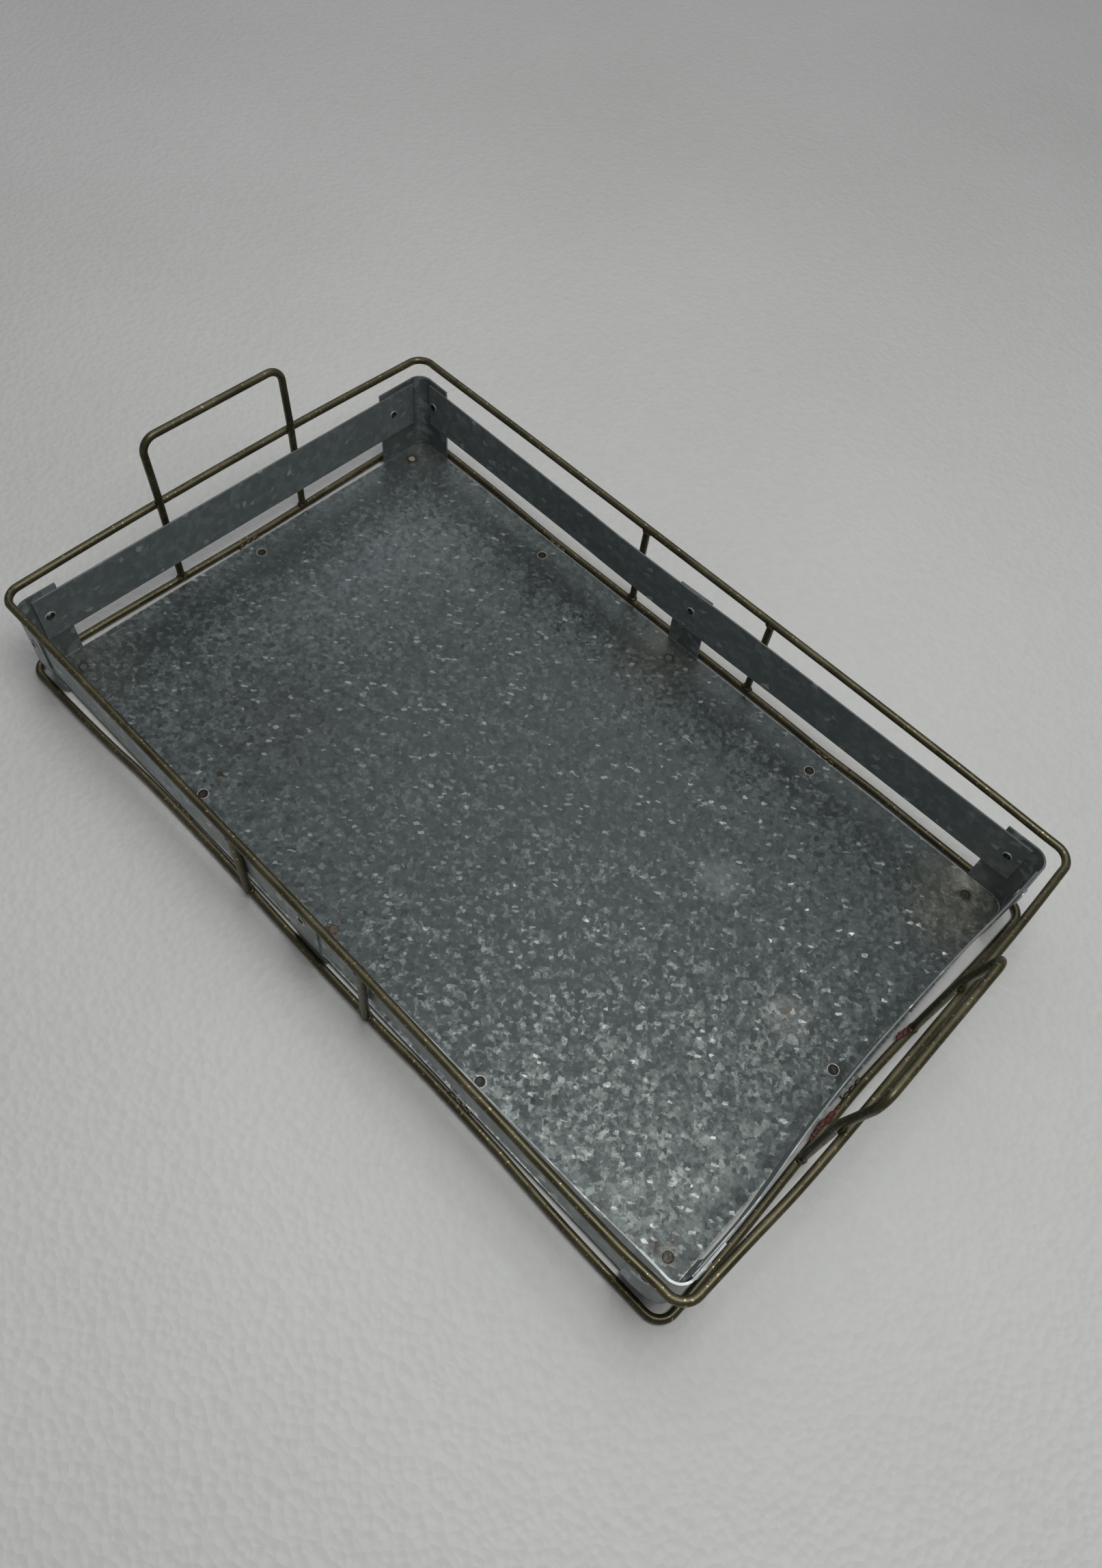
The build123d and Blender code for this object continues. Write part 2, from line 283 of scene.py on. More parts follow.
def sweep(bm, path, closed, flat, hot_spots):
    """Adds a round wire along path to bm. flat is a direction across the wire.

    Each loop keeps (length along, two offsets across) as "grain", each point its "heat".
    """
    grain = bm.loops.layers.float_vector.new("grain")
    heat = bm.verts.layers.float.new("heat")
    count = len(path)
    rows = []
    lengths = [0.0]
    for i, point in enumerate(path):
        before = path[i - 1] if closed or i else point
        after = path[(i + 1) % count] if closed or i < count - 1 else point
        along = (after - before).normalized()
        side = along.cross(flat).normalized()
        up = side.cross(along)
        row = []
        for k in range(WIRE_SIDES):
            angle = math.tau * k / WIRE_SIDES
            offset = side * math.cos(angle) + up * math.sin(angle)
            lump = noise.noise((point + offset * WIRE_DENT_REACH) * WIRE_DENTS_PER_METRE)
            dent = 1 - WIRE_DENTS * max(0.0, lump)
            v = bm.verts.new(point + offset * WIRE_R * dent)
            near = min((v.co - spot).length for spot in hot_spots)
            v[heat] = math.exp(-((near / HEAT_REACH) ** 2))
            row.append(v)
        rows.append(row)
        lengths.append(lengths[-1] + (after - point).length)
    turns = count if closed else count - 1
    for i in range(turns):
        here, there = rows[i], rows[(i + 1) % count]
        for k in range(WIRE_SIDES):
            n = (k + 1) % WIRE_SIDES
            face = bm.faces.new((here[k], there[k], there[n], here[n]))
            for loop, place, turn in zip(face.loops, (i, i + 1, i + 1, i), (k, k, k + 1, k + 1)):
                angle = math.tau * turn / WIRE_SIDES
                loop[grain] = (lengths[place], WIRE_R * math.cos(angle), WIRE_R * math.sin(angle))
    if not closed:
        bm.faces.new(rows[0])
        bm.faces.new(list(reversed(rows[-1])))


def lathe(bm, profile, place, closed=False):
    """Adds the solid made by turning (radius, height) points about Z, and gives back its points."""
    rows = []
    for r, z in profile:
        if r == 0:
            rows.append([bm.verts.new(place @ Vector((0, 0, z)))])
            continue
        ring = []
        for k in range(LATHE_SIDES):
            angle = math.tau * k / LATHE_SIDES
            local = Vector((r * math.cos(angle), r * math.sin(angle), z))
            ring.append(bm.verts.new(place @ local))
        rows.append(ring)
    pairs = list(zip(rows, rows[1:]))
    if closed:
        pairs.append((rows[-1], rows[0]))
    for a, b in pairs:
        for k in range(LATHE_SIDES):
            n = (k + 1) % LATHE_SIDES
            corners = [a[k % len(a)], a[n % len(a)], b[n % len(b)], b[k % len(b)]]
            bm.faces.new(list(dict.fromkeys(corners)))
    return [v for row in rows for v in row]


def bead(bm, centre, radii, seed, lumpy=0.16):
    """Adds a lump with radii along X, Y and Z at centre; each seed gives it another shape."""
    made = bmesh.ops.create_icosphere(bm, subdivisions=3, radius=1)
    shift = Vector([seed * part for part in BEAD_SHIFT])
    for v in made["verts"]:
        swell = 1 + lumpy * noise.noise(v.co * BEAD_LUMPS + shift)
        v.co = centre + Vector([c * r for c, r in zip(v.co * swell, radii)])
        v.co.x = min(max(v.co.x, cad_box[0].x + EDGE_GAP), cad_box[1].x - EDGE_GAP)
        v.co.y = min(max(v.co.y, cad_box[0].y + EDGE_GAP), cad_box[1].y - EDGE_GAP)


# -------- paths of the wires
def ring_path(ring):
    """Centre line of a hand-bent ring, from the middle of its +X side."""
    half, z, bends = ring
    half_x, half_y = half
    r = RING_CORNER_R
    straight = []
    corners = ((1, 1, 0), (-1, 1, 90), (-1, -1, 180), (1, -1, 270))
    outline = [(half_x, 0.0)]
    for sx, sy, start in corners:
        cx, cy = sx * (half_x - r), sy * (half_y - r)
        for k in range(CORNER_STEPS + 1):
            angle = math.radians(start + 90 * k / CORNER_STEPS)
            outline.append((cx + r * math.cos(angle), cy + r * math.sin(angle)))
    outline.append((half_x, 0.0))
    for (x0, y0), (x1, y1) in zip(outline, outline[1:]):
        length = math.hypot(x1 - x0, y1 - y0)
        count = max(1, round(length / RING_STEP))
        for k in range(count):
            t = k / count
            straight.append((x0 + (x1 - x0) * t, y0 + (y1 - y0) * t))
    path = []
    for x, y in straight:
        bx, by = bent_ring_point(x, y, bends, half)
        path.append(Vector((bx, by, z)))
    return path


def filleted_path(points, radius):
    """The polyline with an arc of that radius at each inner corner."""
    path = [points[0]]
    for before, at, after in zip(points, points[1:], points[2:]):
        back = (before - at).normalized()
        on = (after - at).normalized()
        half = back.angle(on) / 2
        reach = radius / math.tan(half)
        centre = at + (back + on).normalized() * (radius / math.sin(half))
        start = at + back * reach - centre
        end = at + on * reach - centre
        turn = start.angle(end)
        axis = start.cross(end).normalized()
        count = max(2, math.ceil(turn / BEND_STEP))
        for k in range(count + 1):
            path.append(centre + Matrix.Rotation(turn * k / count, 3, axis) @ start)
    path.append(points[-1])
    filled = []
    for a, b in zip(path, path[1:]):
        count = max(1, round((b - a).length / HANDLE_STEP))
        filled += [a.lerp(b, k / count) for k in range(count)]
    return filled + [path[-1]]


# -------- material making
class Graph:
    """One material's node tree, with short calls for the nodes used here."""

    def __init__(self, name):
        self.material = bpy.data.materials.new(name)
        self.material.use_nodes = True
        self.tree = self.material.node_tree
        self.shader = self.tree.nodes["Principled BSDF"]

    def node(self, kind, **settings):
        made = self.tree.nodes.new("ShaderNode" + kind)
        for key, value in settings.items():
            setattr(made, key, value)
        return made

    def feed(self, socket, value):
        """Links an output to the socket, or sets the socket's own value."""
        if isinstance(value, bpy.types.NodeSocket):
            self.tree.links.new(value, socket)
        else:
            socket.default_value = value

    def place(self, shift=(0, 0, 0)):
        """Object coordinates in metres, moved by shift."""
        return self.vector("ADD", self.node("TexCoord").outputs["Object"], shift)

    def attribute(self, name, output="Vector"):
        """A value that the mesh brings along."""
        return self.node("Attribute", attribute_name=name).outputs[output]

    def vector(self, operation, a, b=(0, 0, 0)):
        """Vector maths; for SCALE, b is a number."""
        made = self.node("VectorMath", operation=operation)
        self.feed(made.inputs[0], a)
        self.feed(made.inputs["Scale" if operation == "SCALE" else 1], b)
        return made.outputs["Value" if operation in ("DISTANCE", "DOT_PRODUCT") else "Vector"]

    def math(self, operation, a, b=0.0):
        made = self.node("Math", operation=operation)
        self.feed(made.inputs[0], a)
        self.feed(made.inputs[1], b)
        return made.outputs[0]

    def plus(self, a, b):
        return self.math("ADD", a, b)

    def minus(self, a, b):
        return self.math("SUBTRACT", a, b)

    def times(self, a, b):
        return self.math("MULTIPLY", a, b)

    def split(self, vector, axis):
        made = self.node("SeparateXYZ")
        self.feed(made.inputs[0], vector)
        return made.outputs[axis]

    def facing_up(self):
        """How far the surface faces up: 1 for level, 0 for upright."""
        return self.split(self.node("NewGeometry").outputs["Normal"], 2)

    def noise(self, vector, size, detail=2.0, roughness=0.5, output="Fac"):
        """Noise with features of that size in metres."""
        made = self.node("TexNoise")
        self.feed(made.inputs["Vector"], vector)
        made.inputs["Scale"].default_value = 1 / size
        made.inputs["Detail"].default_value = detail
        made.inputs["Roughness"].default_value = roughness
        return made.outputs[output]

    def wander(self, vector, size, detail, amount):
        """A small random vector, up to half of amount each way, with features of that size."""
        centred = self.vector("SUBTRACT", self.noise(vector, size, detail, 0.6, "Color"), HALVES)
        return self.vector("SCALE", centred, amount)

    def cells(self, vector, size, output="Color"):
        """Cells of that size, each with a random colour."""
        made = self.node("TexVoronoi")
        self.feed(made.inputs["Vector"], vector)
        made.inputs["Scale"].default_value = 1 / size
        return made.outputs[output]

    def range(self, value, low, high, to_low=0.0, to_high=1.0):
        """An S curve from to_low at low to to_high at high."""
        made = self.node("MapRange", interpolation_type="SMOOTHSTEP")
        self.feed(made.inputs["Value"], value)
        made.inputs["From Min"].default_value = low
        made.inputs["From Max"].default_value = high
        made.inputs["To Min"].default_value = to_low
        made.inputs["To Max"].default_value = to_high
        return made.outputs["Result"]

    def ramp(self, value, stops):
        """Colour stops along a value from 0 to 1."""
        made = self.node("ValToRGB")
        self.feed(made.inputs["Fac"], value)
        elements = made.color_ramp.elements
        while len(elements) < len(stops):
            elements.new(0.5)
        for element, (at, colour) in zip(elements, stops):
            element.position = at
            element.color = (*colour, 1)
        return made.outputs["Color"]

    def mix(self, factor, a, b):
        """Colour a where factor is 0, colour b where it is 1."""
        made = self.node("Mix", data_type="RGBA")
        self.feed(made.inputs[0], factor)
        self.feed(made.inputs[6], (*a, 1) if isinstance(a, tuple) else a)
        self.feed(made.inputs[7], (*b, 1) if isinstance(b, tuple) else b)
        return made.outputs[2]

    def tint(self, mask, amount, base, colour):
        """The base colour, covered by that amount of another where mask is 1."""
        return self.mix(self.times(mask, amount), base, colour)

    def bump(self, height, distance, strength, normal=None):
        """A normal roughened by height, over the given normal if there is one."""
        made = self.node("Bump")
        self.feed(made.inputs["Height"], height)
        made.inputs["Distance"].default_value = distance
        made.inputs["Strength"].default_value = strength
        if normal is not None:
            self.feed(made.inputs["Normal"], normal)
        return made.outputs["Normal"]

    def spot(self, place, centre, inner, outer):
        """1 within inner of centre, 0 beyond outer."""
        gap = self.vector("DISTANCE", place, centre)
        return self.range(gap, inner, outer, 1.0, 0.0)

    def set(self, **inputs):
        """Sets the shader's sockets by name, with _ for a space."""
        for name, value in inputs.items():
            self.feed(self.shader.inputs[name.replace("_", " ")], value)


# -------- zinc
HALVES = (0.5, 0.5, 0.5)
FINE_SHIFT = (0.31, 0.17, 0.05)      # between the coarse and the fine crystals
FLECK_ALONG = (0.74, 0.55, 0.39)     # the way that flecks lie, and two directions across it
FLECK_ACROSS = (-0.60, 0.80, 0.0)
FLECK_UP = (-0.31, -0.23, 0.92)
FLECK_SHORTENING = 0.5               # makes a fleck twice as long as it is wide
FLECK_LEAN = 0.38
FLECK_METAL = 0.6
EDGE_COLOUR = (0.17, 0.18, 0.18)     # a strip's cut upper edge


def spangle(g, place, crystal, tilt):
    """Ragged zinc crystals: a tone from 0 to 1 for each, and their tilted normal."""
    ragged = g.vector("ADD", place, g.wander(place, crystal * 0.45, 2, crystal * 0.55))
    coarse = g.cells(ragged, crystal)
    fine = g.cells(g.vector("ADD", ragged, FINE_SHIFT), crystal * 0.6)
    tone = g.plus(g.times(g.split(coarse, 0), 0.62), g.times(g.split(fine, 0), 0.38))
    lean_coarse = g.vector("SCALE", g.vector("SUBTRACT", coarse, HALVES), tilt)
    lean_fine = g.vector("SCALE", g.vector("SUBTRACT", fine, HALVES), tilt * 0.6)
    lean = g.vector("ADD", lean_coarse, lean_fine)
    normal = g.vector("ADD", g.node("NewGeometry").outputs["Normal"], lean)
    return tone, g.vector("NORMALIZE", normal)


def slivers(g, place, size, share):
    """Thin flecks lying much the same way: a mask showing that share of them, and each one's lean."""
    turned = g.node("CombineXYZ")
    along = g.vector("DOT_PRODUCT", place, FLECK_ALONG)
    g.feed(turned.inputs[0], g.times(along, FLECK_SHORTENING))
    g.feed(turned.inputs[1], g.vector("DOT_PRODUCT", place, FLECK_ACROSS))
    g.feed(turned.inputs[2], g.vector("DOT_PRODUCT", place, FLECK_UP))
    ragged = g.vector("ADD", turned.outputs[0], g.wander(place, size * 0.9, 2, size * 0.5))
    fleck = g.cells(ragged, size)
    luck = g.split(fleck, 0)
    shown = g.range(luck, 1 - share, 1 - share + 0.05)
    strength = g.range(luck, 1 - share, 1.0, 0.6, 1.0)
    lean = g.vector("MULTIPLY", g.vector("SUBTRACT", fleck, HALVES), (0.0, 1.0, 1.0))
    return g.times(shown, strength), lean


def zinc(name, crystal, tones, tilt, metal, rough, flecks, glint,
         shift=(0, 0, 0), marks=None, contrast=1.0):
    """Galvanised sheet with crystals, clouding, flecks and scuffs.

    tones are the crystals' colours, dark to bright. flecks are the size, share and strength of the
    flecks, and glint their colour. marks paints a floor; without it the upper edge is a cut edge.
    """
    g = Graph(name)
    dark, mid, light, bright = tones
    fleck_size, fleck_share, fleck_strength = flecks
    place = g.place(shift)
    tone, normal = spangle(g, place, crystal, tilt)
    cloud = g.noise(place, 0.045, 4, 0.6)
    tone = g.plus(tone, g.times(g.minus(cloud, 0.5), 0.30))
    crystals = g.ramp(tone, ((0.25, dark), (0.50, mid), (0.66, light), (0.82, bright)))
    colour = g.mix(contrast, mid, crystals)
    facet, lean = slivers(g, place, fleck_size, fleck_share)
    lean = g.vector("SCALE", lean, g.times(facet, FLECK_LEAN))
    normal = g.vector("NORMALIZE", g.vector("ADD", normal, lean))
    stain = g.range(g.noise(place, 0.09, 5, 0.62), 0.52, 0.75)
    colour = g.tint(stain, 0.3, colour, tuple(c * 0.8 for c in mid))
    if marks:
        colour = marks(g, place, colour)
    colour = g.tint(facet, fleck_strength, colour, glint)
    if not marks:
        colour = g.mix(g.range(g.facing_up(), 0.35, 0.8, 0.0, 0.75), colour, EDGE_COLOUR)
    scuffs = g.noise(g.vector("MULTIPLY", place, (1.0, 14.0, 1.0)), 0.012, 3, 0.6)
    patchy = g.split(g.cells(place, crystal * 1.4), 1)
    roughness = g.plus(g.times(patchy, 0.16), rough - 0.08)
    roughness = g.plus(roughness, g.times(g.minus(scuffs, 0.5), 0.12))
    metallic = g.plus(g.times(facet, FLECK_METAL - metal), metal)
    fine = g.noise(place, 0.0009, 2, 0.6)
    rippled = g.bump(fine, 0.00004, 0.35, normal)
    g.set(Base_Color=colour, Roughness=roughness, Metallic=metallic, Normal=rippled)
    return g.material


# -------- marks and painted light on the tray's floor
LUG_HOLE_IN = 6.5 * MM       # from a lug's inner end to its rivet


# Each lug: its node, the axis (0 for X, 1 for Y) that it points along, and the way it points.
LUGS = [("lug_" + short, 0, sign) for short, sign in SHORT_SIDES]
for long, sign in LONG_SIDES:
    LUGS += [("lug_%s_%s" % (long, short), 1, sign) for short, _ in SHORT_SIDES]


def find_lug_rivets():
    """The (x, y) of each lug's rivet."""
    places = []
    for node, axis, sign in LUGS:
        lo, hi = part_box(node)
        place = [(lo.x + hi.x) / 2, (lo.y + hi.y) / 2]
        place[axis] = lo[axis] + LUG_HOLE_IN if sign > 0 else hi[axis] - LUG_HOLE_IN
        places.append(place)
    return places


LUG_RIVETS = find_lug_rivets()
# The rivets through the tray's floor: x and y in millimetres, and which metal they show.
PLATE_RIVETS = {
    "nx_py": (-204.4, 112.4, "pale"),
    "nx_ny": (-200.9, -116.0, "grey"),
    "px_ny": (203.2, -111.4, "brown"),
    "px_py": (195.8, 118.2, "brown"),
    "ny": (0.0, -117.0, "rusty"),
    "py": (0.0, 117.0, "grey"),
}
# Patches: x, y, inner radius and outer radius in millimetres, amount, colour.
OLIVE = (0.145, 0.137, 0.105)
PATCHES = (
    # stains in the corners and at the middle of a long side
    (198, 112, 8, 38, 0.48, OLIVE),
    (193, 127, 2, 12, 0.6, (0.34, 0.33, 0.29)),
    (-4, 112, 6, 34, 0.25, OLIVE),
    (-204, 118, 4, 26, 0.3, (0.30, 0.29, 0.25)),
    (-196, -110, 4, 30, 0.2, (0.20, 0.20, 0.17)),
    # painted light: a pale haze on the far left and a pale back corner are painted reflections, the
    # second also lightens the shade in that corner; the dark cloud is a painted shadow
    (-165, 5, 4, 75, 0.50, (0.105, 0.122, 0.128)),
    (-172, 84, 12, 90, 0.60, (0.130, 0.148, 0.153)),
    (-100, -60, 8, 60, 0.45, (0.036, 0.042, 0.042)),
    # a pale tan stain and a small pale spot
    (174, 4, 8, 13, 0.32, (0.24, 0.25, 0.235)),
    (107, 35, 4, 15, 0.18, (0.34, 0.37, 0.37)),
    # rust and small dark spots
    (172, 6, 0.5, 4, 0.5, (0.15, 0.11, 0.08)),
    (-102, -104, 0.9, 2.6, 0.9, (0.030, 0.022, 0.013)),
    (-99.5, -108, 0.8, 2.3, 0.9, (0.050, 0.036, 0.020)),
    (-104, -112, 0.6, 1.9, 0.9, (0.018, 0.016, 0.014)),
    (196, -112, 1.2, 4.6, 0.9, (0.022, 0.017, 0.013)),
    (200, -106, 0.8, 3.2, 0.7, (0.045, 0.032, 0.024)),
    (150, -66, 0.3, 2.0, 0.7, (0.05, 0.05, 0.05)),
    (130, -40, 0.3, 2.2, 0.5, (0.06, 0.06, 0.055)),
)
RUST_RING = (0.050, 0.036, 0.028)    # round a floor rivet
RUST_RING_REACH = ((2.3, 2.6), (3.0, 4.6))    # where it sets in and where it fades, mm
LUG_BURR_HIGHLIGHT = (0.42, 0.40, 0.34)         # pale edge of a hole over a lug's rivet: its burr, with a painted highlight
LUG_LIP_REACH = ((2.3, 2.5), (2.85, 3.1))
RIM_HIGHLIGHT = (0.36, 0.37, 0.34)        # painted highlight along the floor's outer edge
RIM_WIDTH = (0.7 * MM, 0.35 * MM)    # where that line starts, and is full
SCRATCH_X = -48.7 * MM
SCRATCH_Y = 26.5 * MM
SCRATCH_SLANT = 0.05
SCRATCH_COLOUR = (0.04, 0.04, 0.04)


def band_between(g, gap, rise, fall):
    """1 between the two pairs of distances given in millimetres, 0 nearer and farther."""
    inside = g.range(gap, rise[0] * MM, rise[1] * MM)
    outside = g.range(gap, fall[0] * MM, fall[1] * MM, 1, 0)
    return g.times(inside, outside)


def plate_rim_highlight(g, place, colour):
    """A painted highlight: a pale line along the floor's outer edge."""
    sides = []
    for axis, reach in enumerate((plate_hi.x, plate_hi.y)):
        out = g.math("ABSOLUTE", g.split(place, axis))
        sides.append(g.range(out, reach - RIM_WIDTH[0], reach - RIM_WIDTH[1]))
    return g.tint(g.math("MAXIMUM", sides[0], sides[1]), 0.4, colour, RIM_HIGHLIGHT)


def plate_scratch(g, ragged, colour):
    """One short dark scratch."""
    y = g.minus(g.split(ragged, 1), SCRATCH_Y)
    x = g.minus(g.split(ragged, 0), SCRATCH_X)
    aside = g.math("ABSOLUTE", g.minus(x, g.times(y, SCRATCH_SLANT)))
    width = g.range(aside, 0.15 * MM, 0.6 * MM, 1, 0)
    length = g.range(g.math("ABSOLUTE", y), 4 * MM, 5.5 * MM, 1, 0)
    return g.tint(g.times(width, length), 0.8, colour, SCRATCH_COLOUR)


def plate_marks(g, place, colour):
    """Stains, rust, a scratch and painted light on the tray's floor: painted reflections, a painted
    shadow, and painted highlights along its edge and round the holes over the lugs.
    """
    ragged = g.vector("ADD", place, g.wander(place, 0.006, 3, 0.006))
    flat = g.vector("MULTIPLY", ragged, (1.0, 1.0, 0.0))
    upper_face = g.range(g.facing_up(), 0.0, 0.5)
    for x, y, inner, outer, amount, stain in PATCHES:
        mask = g.times(g.spot(flat, (x * MM, y * MM, 0.0), inner * MM, outer * MM), upper_face)
        colour = g.tint(mask, amount, colour, stain)
    for x, y, _ in PLATE_RIVETS.values():
        gap = g.vector("DISTANCE", flat, (x * MM, y * MM, 0.0))
        colour = g.tint(band_between(g, gap, *RUST_RING_REACH), 0.6, colour, RUST_RING)
    # pale burrs round the holes over the lug rivets, with a painted highlight
    for x, y in LUG_RIVETS:
        gap = g.vector("DISTANCE", place, (x, y, PLATE_TOP_Z))
        colour = g.tint(band_between(g, gap, *LUG_LIP_REACH), 0.6, colour, LUG_BURR_HIGHLIGHT)
    colour = plate_rim_highlight(g, place, colour)
    return plate_scratch(g, ragged, colour)


# -------- other materials
def brass_wire():
    """Drawn steel wire with a tarnished brassy coat, burnt brown beside the welds."""
    g = Graph("tarnished_brassy_wire")
    place = g.place()
    grain = g.vector("MULTIPLY", g.attribute("grain"), (0.06, 1.0, 1.0))
    drawn = g.noise(grain, 0.0009, 3, 0.6)
    cloud = g.noise(place, 0.02, 4, 0.62)
    tone = g.plus(g.times(cloud, 0.7), g.times(drawn, 0.3))
    colour = g.ramp(tone, (
        (0.28, (0.043, 0.037, 0.022)),
        (0.5, (0.084, 0.075, 0.043)),
        (0.72, (0.135, 0.120, 0.072)),
    ))
    # painted glints: bright gold specks, which are also less rough
    specks = g.range(g.noise(place, 0.0016, 2, 0.6), 0.62, 0.72)
    colour = g.tint(specks, 0.6, colour, (0.52, 0.43, 0.24))
    rust = g.range(g.noise(g.vector("ADD", place, (0.4, 0.1, 0.2)), 0.007, 4, 0.65), 0.60, 0.72)
    colour = g.tint(rust, 0.7, colour, (0.060, 0.036, 0.020))
    colour = g.tint(g.attribute("heat", "Fac"), 0.6, colour, (0.040, 0.028, 0.018))
    rough = g.plus(g.range(cloud, 0.3, 0.7, 0.32, 0.46), g.times(rust, 0.2))
    rough = g.minus(rough, g.times(specks, 0.1))
    height = g.plus(drawn, g.times(rust, 0.8))
    g.set(Base_Color=colour, Roughness=rough, Metallic=0.8, Normal=g.bump(height, 0.00005, 0.5))
    return g.material


def weld_metal():
    """Lumpy brown weld metal with a few bright specks that are painted highlights."""
    g = Graph("burnt_weld")
    place = g.place()
    lumps = g.noise(place, 0.0014, 3, 0.6)
    colour = g.ramp(lumps, (
        (0.3, (0.034, 0.027, 0.018)),
        (0.55, (0.095, 0.077, 0.046)),
        (0.75, (0.18, 0.14, 0.08)),
    ))
    # painted highlights: bright specks on the beads
    bead_highlights = g.range(g.noise(place, 0.003, 2, 0.5), 0.66, 0.72)
    colour = g.mix(bead_highlights, colour, (0.62, 0.50, 0.34))
    rough = g.range(lumps, 0.3, 0.7, 0.32, 0.55)
    g.set(Base_Color=colour, Roughness=rough, Metallic=0.8, Normal=g.bump(lumps, 0.00012, 0.6))
    return g.material


def rivet_metal(name, rim, middle):
    """Rivet face with painted shade darkening it towards its rim, where the gap round it lies; radial
    distance comes with the mesh.
    """
    g = Graph(name)
    grime = g.noise(g.place(), 0.0016, 4, 0.65)
    out = g.plus(g.attribute("radial", "Fac"), g.times(g.minus(grime, 0.5), 0.5))
    colour = g.mix(g.range(out, 0.55, 0.95), middle, rim)
    colour = g.tint(g.range(grime, 0.5, 0.7), 0.5, colour, tuple(0.45 * c for c in middle))
    rough = g.range(grime, 0.3, 0.7, 0.35, 0.6)
    g.set(Base_Color=colour, Roughness=rough, Metallic=0.6, Normal=g.bump(grime, 0.00008, 0.6))
    return g.material


def wax():
    """Dark red-brown residue, folded and dull."""
    g = Graph("red_brown_residue")
    folds = g.noise(g.place(), 0.003, 3, 0.6)
    colour = g.ramp(folds, (
        (0.3, (0.025, 0.006, 0.004)),
        (0.6, (0.10, 0.016, 0.008)),
        (0.8, (0.17, 0.035, 0.018)),
    ))
    rough = g.range(folds, 0.3, 0.7, 0.45, 0.6)
    g.set(Base_Color=colour, Roughness=rough, Normal=g.bump(folds, 0.0003, 0.5))
    return g.material


def foam_floor():
    """Pale foam with beads."""
    g = Graph("pale_floor")
    place = g.place()
    beads = g.cells(place, 0.0038, "Distance")
    shades = g.times(g.split(g.cells(place, 0.0042), 0), 0.12)
    tone = g.plus(g.noise(place, 0.35, 3, 0.5), shades)
    colour = g.ramp(tone, ((0.3, (0.58, 0.58, 0.56)), (0.8, (0.66, 0.66, 0.645))))
    g.set(Base_Color=colour, Roughness=0.62, Normal=g.bump(beads, 0.0012, 0.5))
    return g.material


DULL_GLINT = (0.34, 0.37, 0.365)
plate_zinc = zinc(
    "plate_zinc", crystal=0.0026,
    tones=((0.048, 0.058, 0.057), (0.056, 0.068, 0.067), (0.078, 0.094, 0.092), (0.175, 0.205, 0.20)),
    tilt=0.20, metal=0.45, rough=0.37, flecks=(0.0015, 0.05, 0.60), glint=DULL_GLINT,
    marks=plate_marks, contrast=0.30)
band_zinc = zinc(
    "band_zinc", crystal=0.0042,
    tones=((0.198, 0.223, 0.228), (0.218, 0.245, 0.250), (0.242, 0.270, 0.275), (0.272, 0.305, 0.310)),
    tilt=0.05, metal=0.5, rough=0.42, flecks=(0.0026, 0.05, 0.80), glint=(0.56, 0.61, 0.62),
    shift=(0.7, 0.2, 0.4))
bracket_zinc = zinc(
    "bracket_zinc", crystal=0.0062,
    tones=((0.168, 0.187, 0.190), (0.184, 0.205, 0.208), (0.205, 0.226, 0.229), (0.32, 0.35, 0.36)),
    tilt=0.05, metal=0.6, rough=0.36, flecks=(0.0030, 0.04, 0.65), glint=(0.52, 0.57, 0.58),
    shift=(0.2, 0.9, 0.1))
lug_zinc = zinc(
    "lug_zinc", crystal=0.004,
    tones=((0.06, 0.062, 0.055), (0.10, 0.10, 0.09), (0.14, 0.14, 0.125), (0.28, 0.28, 0.25)),
    tilt=0.12, metal=0.6, rough=0.5, flecks=(0.0016, 0.05, 0.5), glint=DULL_GLINT,
    shift=(0.5, 0.5, 0.3))
wire_coat = brass_wire()
burnt_weld = weld_metal()
residue = wax()
# the eyelets' dark rim colour is painted shade inside their bores
eyelet_metal = rivet_metal("eyelet_metal", (0.012, 0.012, 0.012), (0.55, 0.56, 0.54))
# the rim colours are painted shade of the gap round each rivet; the lug rivets, low in their holes,
# are also darkened by painted shade
RIVET_METALS = {
    "brown": rivet_metal("rivet_brown", (0.014, 0.012, 0.008), (0.042, 0.037, 0.026)),
    "rusty": rivet_metal("rivet_rusty", (0.055, 0.030, 0.019), (0.085, 0.070, 0.052)),
    "pale": rivet_metal("rivet_pale", (0.03, 0.025, 0.02), (0.60, 0.55, 0.46)),
    "grey": rivet_metal("rivet_grey", (0.024, 0.022, 0.018), (0.13, 0.135, 0.125)),
    "dark": rivet_metal("rivet_dark", (0.012, 0.010, 0.008), (0.026, 0.022, 0.018)),
}

# -------- wire frame
FOOT_Z = BOTTOM_Z + WIRE_R - WELD_SINK
HEAD_Z = TOP_Z - WIRE_R + WELD_SINK
POST_STEPS = 16
POST_FOOT_OUT = 1.0 * MM     # a post's foot stands outside the bottom ring's line,
POST_HEAD_IN = 0.2 * MM      # and its head inside the top ring's line
POST_HEAD_ALONG = 0.3 * MM

